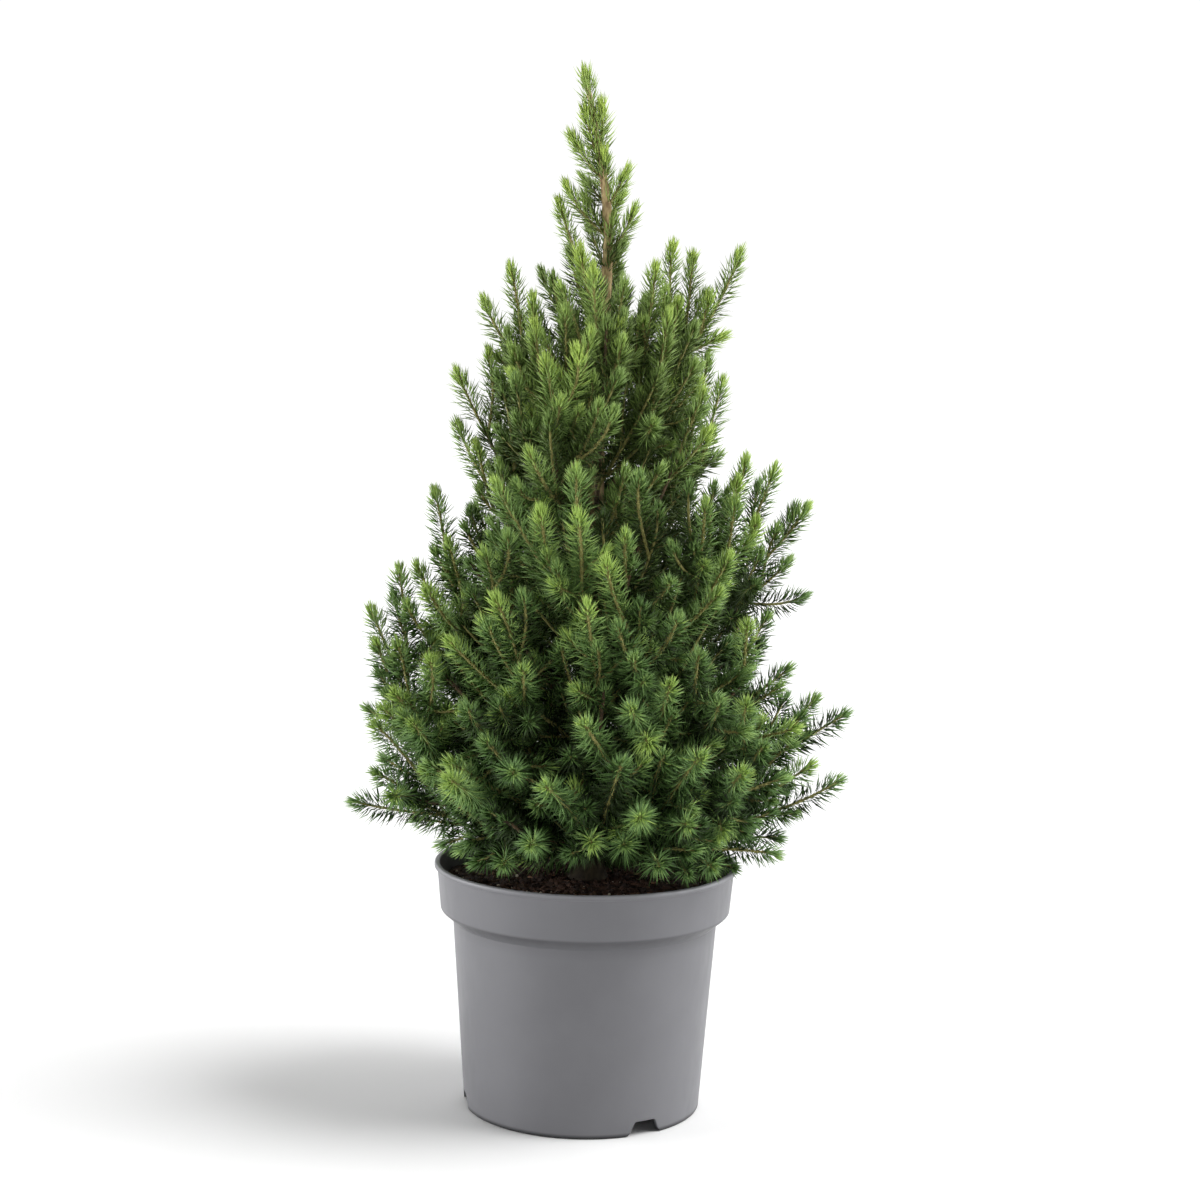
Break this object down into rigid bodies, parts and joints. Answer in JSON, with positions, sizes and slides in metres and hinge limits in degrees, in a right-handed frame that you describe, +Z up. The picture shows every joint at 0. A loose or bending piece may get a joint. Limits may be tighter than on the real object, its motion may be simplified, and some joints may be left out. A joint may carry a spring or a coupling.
{
  "type": "potted alberta spruce",
  "caption": "Young cone-shaped dwarf Alberta spruce standing in a round grey nursery pot filled with compost.",
  "frame": {"origin": "middle of the pot's flat underside, on the ground", "axes": "+Z up the trunk, -Y the front, +X the side of the widest low bough"},
  "size_m": [0.315, 0.2886, 0.649],
  "materials": {
    "pot_plastic": "satin injection-moulded polypropylene, mid grey",
    "compost": "moist dark peat and bark compost",
    "bark": "fine scaly brown spruce bark",
    "needles": "mid green waxy needles",
    "young_needles": "bright yellow-green young needles"
  },
  "bodies": {
    "root": {"pot": "pot_plastic", "soil": "compost", "trunk": "bark", "skirt_bough_1": "bark", "skirt_bough_2": "bark", "skirt_bough_3": "bark", "skirt_bough_4": "bark", "skirt_bough_5": "bark", "skirt_bough_6": "bark", "lower_bough_1": "bark", "lower_bough_2": "bark", "lower_bough_3": "bark", "lower_bough_4": "bark", "lower_bough_5": "bark", "lower_bough_6": "bark", "middle_bough_1": "bark", "middle_bough_2": "bark", "middle_bough_3": "bark", "middle_bough_4": "bark", "middle_bough_5": "bark", "upper_bough_1": "bark", "upper_bough_2": "bark", "upper_bough_3": "bark", "upper_bough_4": "bark", "upper_bough_5": "bark", "top_bough_1": "bark", "top_bough_2": "bark", "top_bough_3": "bark", "top_bough_4": "bark", "skirt_mass_1": "needles", "skirt_mass_2": "needles", "skirt_mass_3": "needles", "skirt_mass_4": "needles", "skirt_mass_5": "needles", "skirt_mass_6": "needles", "lower_mass_1": "needles", "lower_mass_2": "needles", "lower_mass_3": "needles", "lower_mass_4": "needles", "lower_mass_5": "needles", "lower_mass_6": "needles", "middle_mass_1": "needles", "middle_mass_2": "needles", "middle_mass_3": "needles", "middle_mass_4": "needles", "middle_mass_5": "needles", "upper_mass_1": "needles", "upper_mass_2": "needles", "upper_mass_3": "needles", "upper_mass_4": "needles", "upper_mass_5": "needles", "top_mass_1": "needles", "top_mass_2": "needles", "top_mass_3": "needles", "top_mass_4": "needles", "leader_lower_mass": "young_needles", "leader_tip_mass": "young_needles"}
  },
  "joints": []
}
